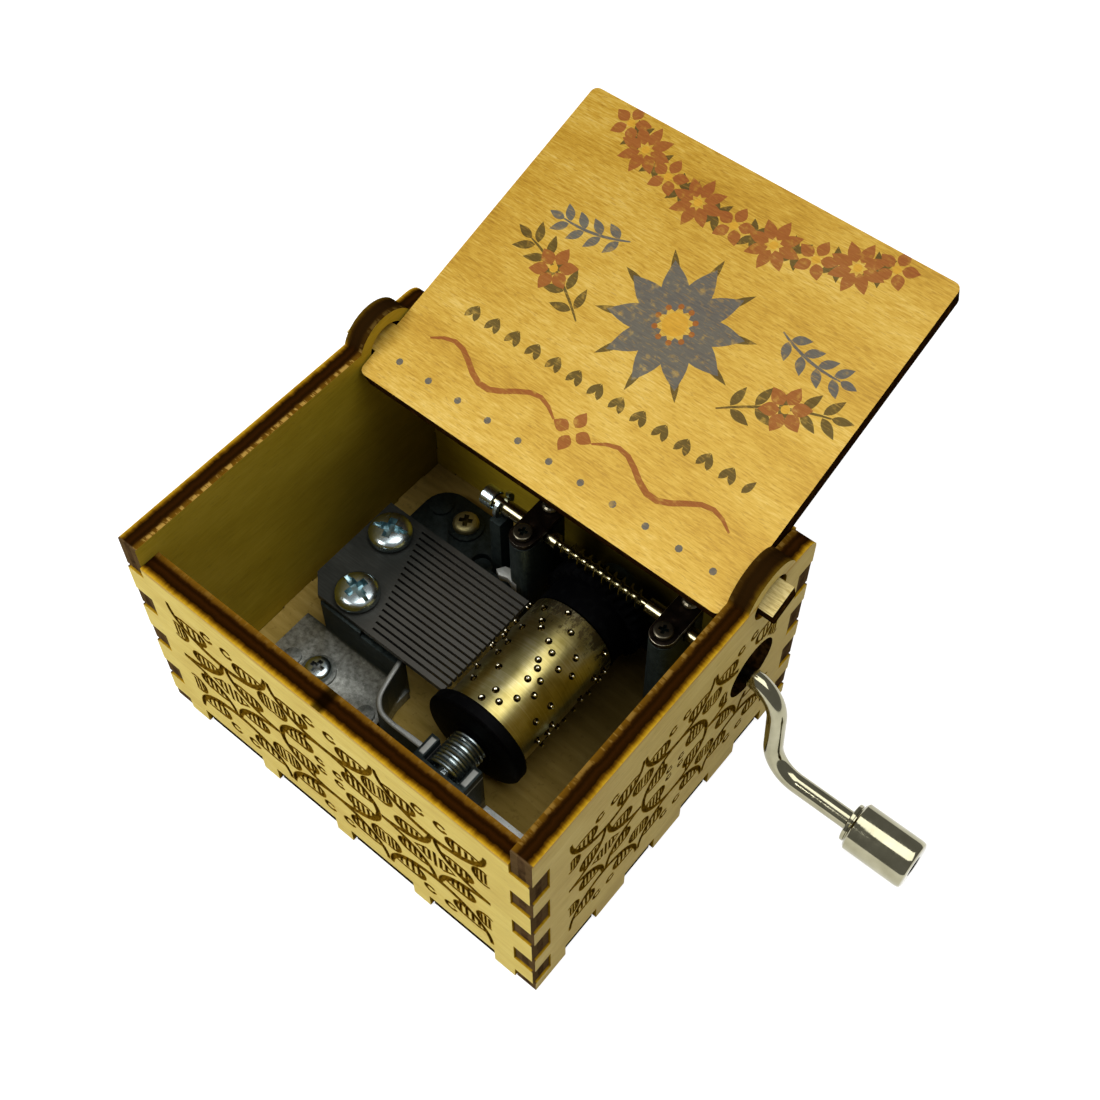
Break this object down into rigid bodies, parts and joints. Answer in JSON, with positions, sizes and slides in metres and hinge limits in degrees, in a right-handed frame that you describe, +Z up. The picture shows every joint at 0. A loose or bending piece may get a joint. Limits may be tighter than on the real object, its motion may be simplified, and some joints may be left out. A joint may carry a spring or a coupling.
{
  "type": "music box",
  "caption": "Small hand-cranked music box: finger-jointed plywood case, pivoting lid, comb, pinned cylinder with worm drive and bent wire crank.",
  "frame": {"origin": "centre of the base plate's underside, which is also where the box stands", "axes": "+Z up, -Y towards the front wall, +X towards the crank"},
  "size_m": [0.093, 0.0874, 0.0523],
  "materials": {
    "birch_ply": "laser-cut, oiled",
    "lid_ply": "printed face, satin",
    "cast_zinc": "as cast",
    "comb_steel": "ground, dark",
    "zinc_plate": "zinc plated, bright",
    "brass": "turned, satin",
    "brassed_steel": "dull yellow plate",
    "black_plastic": "moulded, matt",
    "spring_steel": "drawn wire",
    "dark_strap": "dark oxide",
    "nickel_wire": "nickel plated"
  },
  "bodies": {
    "case": {"front_wall": "birch_ply", "back_wall": "birch_ply", "left_wall": "birch_ply", "right_wall": "birch_ply", "base_plate": "birch_ply", "movement_frame": "cast_zinc", "comb": "comb_steel", "comb_screw_back": "zinc_plate", "comb_screw_front": "zinc_plate", "mount_screw_back": "brassed_steel", "mount_screw_front": "zinc_plate", "mount_screw_right": "zinc_plate", "strap_left": "dark_strap", "strap_right": "dark_strap", "strap_screw_left": "spring_steel", "strap_screw_right": "spring_steel", "strap_rivet_left": "zinc_plate", "strap_rivet_right": "zinc_plate"},
    "lid": {"lid": "lid_ply"},
    "crank": {"worm_shaft": "nickel_wire", "shaft_collar": "zinc_plate", "shaft_clip": "spring_steel", "crank_arm": "nickel_wire"},
    "knob": {"crank_knob": "nickel_wire"},
    "cylinder": {"pinned_cylinder": "brass", "cylinder_flange": "black_plastic", "cylinder_gear": "black_plastic", "cylinder_arbor": "spring_steel", "arbor_spring": "spring_steel"}
  },
  "joints": [
    {"name": "lid_hinge", "type": "hinge", "parent": "case", "child": "lid", "pos_m": [0, 0.0169, 0.03735], "axis": [1, 0, 0], "range_deg": [0, 162.6]},
    {"name": "crank_spin", "type": "hinge", "parent": "case", "child": "crank", "pos_m": [0, 0.01527, 0.02066], "axis": [1, 0, 0], "continuous": true},
    {"name": "cylinder_spin", "type": "hinge", "parent": "case", "child": "cylinder", "pos_m": [0.00845, 0, 0.0123], "axis": [0, 1, 0], "continuous": true},
    {"name": "knob_spin", "type": "hinge", "parent": "crank", "child": "knob", "pos_m": [0.055, 0.0128, 0.008], "axis": [1, 0, 0], "continuous": true}
  ],
  "couplings": [
    {"joint": "cylinder_spin", "follows": "crank_spin", "ratio": -0.029412}
  ]
}
